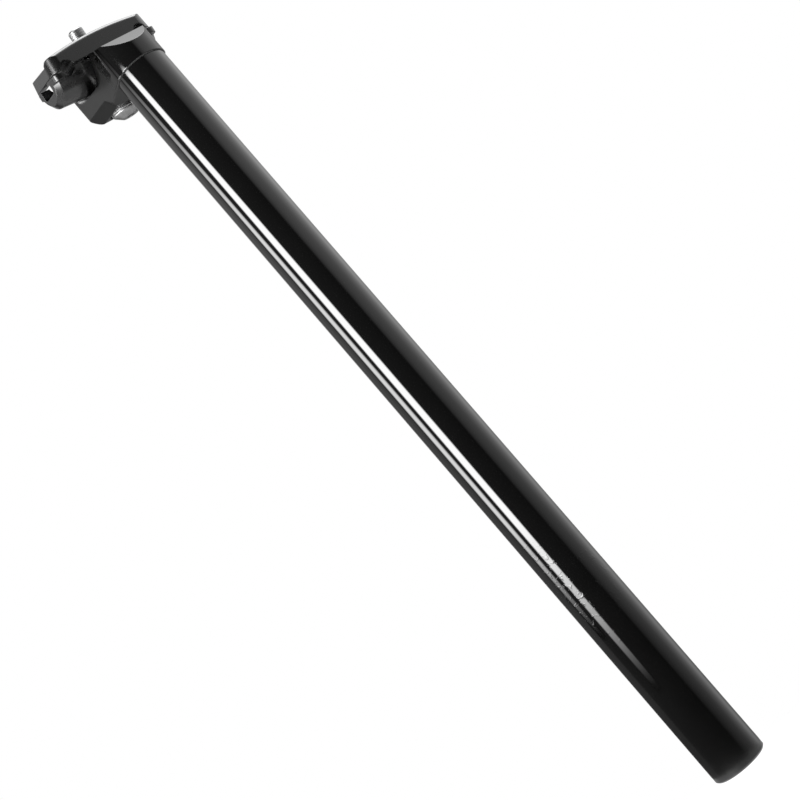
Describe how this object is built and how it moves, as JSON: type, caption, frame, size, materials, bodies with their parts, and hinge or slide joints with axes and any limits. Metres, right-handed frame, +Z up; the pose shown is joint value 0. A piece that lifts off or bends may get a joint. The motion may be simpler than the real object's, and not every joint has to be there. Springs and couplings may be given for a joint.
{
  "type": "bicycle seatpost",
  "caption": "Straight round seatpost with a set-back head and a single-bolt cradle clamp that holds and tilts saddle rails.",
  "frame": {"origin": "centre of the tube's lower end", "axes": "+Z up the tube, -Y to the front of the bicycle (the clamp is set back to +Y), X across it"},
  "size_m": [0.0612, 0.0611, 0.4646],
  "materials": {
    "tube_black": "gloss black",
    "head_black": "gloss black",
    "clamp_black": "gloss black",
    "bolt_steel": "bright zinc plated"
  },
  "bodies": {
    "post": {"post_tube": "tube_black", "head": "head_black"},
    "clamp": {"lower_cradle": "clamp_black", "upper_plate": "clamp_black", "bolt_washer": "bolt_steel", "clamp_bolt": "bolt_steel"}
  },
  "joints": [
    {"name": "saddle_tilt", "type": "hinge", "parent": "post", "child": "clamp", "pos_m": [0, 0.028, 0.4468], "axis": [1, 0, 0], "range_deg": [-10, 3]}
  ]
}
